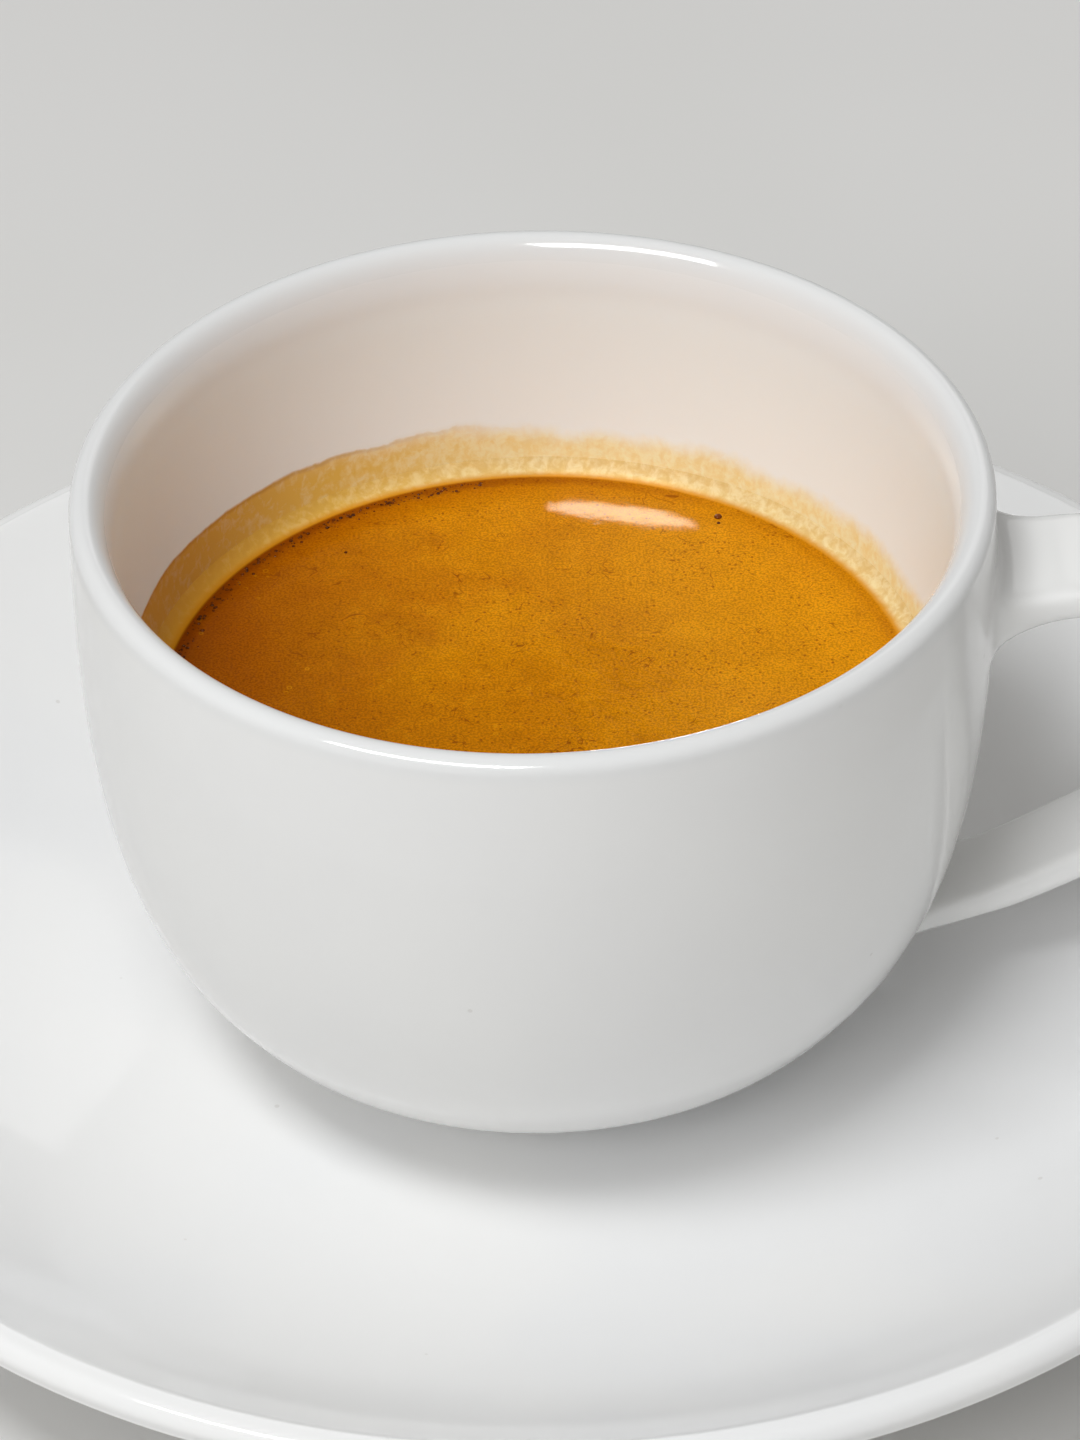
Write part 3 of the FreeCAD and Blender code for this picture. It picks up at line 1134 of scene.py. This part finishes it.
@dataclass
class BubbleField:
    """Small bubbles: a chain along the far left edge, and a few alone. Millimetres and degrees."""

    drink: Drink
    single: tuple[Bubble, ...] = (
        Bubble(27.6, 57.0, 0.34), Bubble(26.9, 56.0, 0.16), Bubble(24.6, 128.0, 0.14)
    )
    chain_start: float = 98.0
    chain_end: float = 205.0
    chain_count: int = 320
    chain_edge: float = 29.15
    chain_spread: float = 0.55
    smallest: float = 0.05
    size_spread: float = 0.13
    dome_cut: float = -0.25
    dome_height: float = 0.72
    seed: int = 7

    def places(self) -> list[Bubble]:
        """All bubbles.

        Returns:
            The chain's bubbles, then the single ones.
        """
        dice = random.Random(self.seed)
        chain = []
        for _ in range(self.chain_count):
            turn = dice.uniform(self.chain_start, self.chain_end)
            radius = self.smallest + self.size_spread * dice.random() ** 2
            out = self.chain_edge - radius - abs(dice.gauss(0.0, self.chain_spread))
            chain.append(Bubble(out, turn, radius))
        return chain + list(self.single)

    def _dome(self) -> Piece:
        """Model one flat dome of radius 1 mm: the upper part of a ball, drawn flatter.

        Returns:
            The dome, at the origin.
        """
        deselect_all()
        bpy.ops.mesh.primitive_uv_sphere_add(segments=8, ring_count=6, radius=MM, location=(0, 0, 0))
        dome = bpy.context.object
        bpy.ops.object.mode_set(mode="EDIT")
        bpy.ops.mesh.select_all(action="SELECT")
        cut = (0, 0, self.dome_cut * MM)
        bpy.ops.mesh.bisect(plane_co=cut, plane_no=(0, 0, 1), use_fill=True, clear_inner=True)
        bpy.ops.mesh.select_all(action="SELECT")
        widen(self.dome_height, (0, 0, 0), "Z")
        bpy.ops.mesh.normals_make_consistent(inside=False)
        bpy.ops.object.mode_set(mode="OBJECT")
        bpy.ops.object.shade_smooth()
        return dome

    def build(self) -> list[Piece]:
        """Copy the dome to every place and join the copies.

        Returns:
            The joined bubbles.
        """
        dome = self._dome()
        copies = []
        for bubble in self.places():
            copy = dome.copy()
            copy.data = dome.data.copy()
            angle, out = math.radians(bubble.turn), bubble.out * MM
            copy.location = (out * math.cos(angle), out * math.sin(angle), self.drink.level * MM)
            copy.scale = (bubble.radius,) * 3
            bpy.context.collection.objects.link(copy)
            copies.append(copy)
        bpy.data.objects.remove(dome, do_unlink=True)
        deselect_all()
        for copy in copies:
            copy.select_set(True)
        bpy.context.view_layer.objects.active = copies[0]
        bpy.ops.object.transform_apply(location=True, rotation=True, scale=True)
        bpy.ops.object.join()
        bubbles = bpy.context.object
        bubbles.name = bubbles.data.name = "crema_bubbles"
        bpy.ops.object.transform_apply(location=True, rotation=True, scale=True)
        BubbleSkin("bubble_skin").wire().dress(bubbles)
        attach(bubbles, BODY)
        return [bubbles]


# ---------------------------------------------------------------- the studio


@dataclass
class Viewpoint:
    """Where the object is seen from: across, above, and a little turned. Metres and radians."""

    distance: float = 0.4079
    elevation: float = 0.6182
    pan: float = -0.0005
    tilt: float = -0.0449
    roll: float = 0.0221
    lens: float = 135.05

    def build(self) -> Piece:
        """Set up the camera.

        Returns:
            The camera.
        """
        aim = Vector((0, 0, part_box("cup")[1][2]))
        away = Vector((0, -math.cos(self.elevation), math.sin(self.elevation)))
        right = Vector((1, 0, 0))
        ways = [right, right.cross(-away), -away]
        for axis, angle in ((1, self.pan), (0, self.tilt), (2, self.roll)):
            turn = Matrix.Rotation(angle, 3, ways[axis])
            ways = [turn @ way for way in ways]
        right, up, ahead = ways
        data = bpy.data.cameras.new("studio_camera")
        data.lens, data.sensor_width, data.clip_start = self.lens, 36.0, 0.01
        camera = bpy.data.objects.new("studio_camera", data)
        bpy.context.scene.collection.objects.link(camera)
        turned = Matrix((right, up, -ahead)).transposed()
        camera.matrix_world = Matrix.Translation(aim + away * self.distance) @ turned.to_4x4()
        bpy.context.scene.camera = camera
        return camera


class Seen(Enum):
    """What a light panel acts on."""

    ALL = "all"
    GLOSS = "gloss"
    MATT = "matt"


@dataclass(frozen=True)
class Panel:
    """A soft light panel: where it faces, its direction and distance from there, its size and power.

    Metres and watts.
    """

    name: str
    toward: Triple
    distance: float
    width: float
    height: float
    power: float
    colour: Colour = (1.0, 1.0, 1.0)
    seen: Seen = Seen.ALL
    aim: Triple = (0.0, 0.0, 0.04)
    shape: str = "RECTANGLE"

    def build(self) -> Piece:
        """Hang the panel.

        Returns:
            The light.
        """
        data = bpy.data.lights.new(self.name, "AREA")
        data.shape, data.size, data.size_y = self.shape, self.width, self.height
        data.energy, data.color = self.power, self.colour
        lamp = bpy.data.objects.new(self.name, data)
        bpy.context.scene.collection.objects.link(lamp)
        toward = Vector(self.toward).normalized()
        lamp.location = Vector(self.aim) + toward * self.distance
        lamp.rotation_mode = "QUATERNION"
        lamp.rotation_quaternion = toward.to_track_quat("Z", "Y")
        lamp.visible_camera = False
        lamp.visible_diffuse = self.seen is not Seen.GLOSS
        lamp.visible_glossy = self.seen is not Seen.MATT
        return lamp


@dataclass
class Studio:
    """Plain pale floor, soft light all round, and light panels."""

    sky: Colour = (1.0, 0.985, 0.96)
    sky_strength: float = 0.355
    floor_size: float = 6.0
    floor_thickness: float = 0.02
    floor: TableTop = field(default_factory=TableTop)
    panels: tuple[Panel, ...] = (
        Panel("key_panel", (-0.27, -0.30, 0.915), 1.2, 0.55, 0.30, 7.5, (0.975, 0.99, 1.0), Seen.MATT),
        Panel("front_panel", (-0.38, -0.69, 0.61), 1.3, 0.60, 0.40, 4.0, seen=Seen.MATT),
        Panel("window_glint", (-0.33, -0.574, 0.766), 1.2, 0.80, 0.30, 17.0, seen=Seen.GLOSS),
        Panel("rear_glow", (0.27, 0.80, 0.56), 1.5, 0.80, 0.60, 0.9, seen=Seen.GLOSS, shape="ELLIPSE"),
        Panel("crema_glint", (0.189, 0.793, 0.579), 0.0058, 0.0140, 0.0013, 0.0022, (1.0, 0.88, 0.70),
              Seen.GLOSS, (0.0066, 0.0250, 0.0352), "ELLIPSE"),
    )

    def build(self) -> list[Piece]:
        """Lay the floor and light it.

        Returns:
            The floor and the panels.
        """
        scene = bpy.context.scene
        scene.view_settings.view_transform = "Standard"
        world = bpy.data.worlds.new("soft_room")
        scene.world = world
        world.use_nodes = True
        background = world.node_tree.nodes["Background"]
        background.inputs["Color"].default_value = (*self.sky, 1.0)
        background.inputs["Strength"].default_value = self.sky_strength
        return [self._lay_floor(), *(panel.build() for panel in self.panels)]

    def _lay_floor(self) -> Piece:
        """Lay a slab whose top is at height 0.

        Returns:
            The floor.
        """
        deselect_all()
        bpy.ops.mesh.primitive_plane_add(size=self.floor_size, location=(0, 0, 0))
        floor = bpy.context.object
        floor.name = floor.data.name = "studio_floor"
        bpy.ops.object.mode_set(mode="EDIT")
        bpy.ops.mesh.select_all(action="SELECT")
        bpy.ops.mesh.extrude_region_move(TRANSFORM_OT_translate={"value": (0, 0, -self.floor_thickness)})
        bpy.ops.mesh.select_all(action="SELECT")
        bpy.ops.mesh.normals_make_consistent(inside=False)
        bpy.ops.object.mode_set(mode="OBJECT")
        self.floor.wire().dress(floor)
        return floor


def report(made: Iterable[Piece]) -> None:
    """Log each object with its number of faces.

    Args:
        made: The objects.
    """
    for piece in made:
        faces = len(piece.data.polygons) if piece.type == "MESH" else 0
        LOG.info("%s: %d faces", piece.name, faces)


def main() -> None:
    """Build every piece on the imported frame, then the studio."""
    logging.basicConfig(level=logging.INFO, format="%(name)s: %(message)s")
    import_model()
    report([Viewpoint().build()])
    report(Saucer().build())
    cup = Cup()
    report(cup.build())
    drink = Drink(cup)
    report(drink.build())
    report(BubbleField(drink).build())
    report(Studio().build())
    deselect_all()


if __name__ == "__main__":
    main()
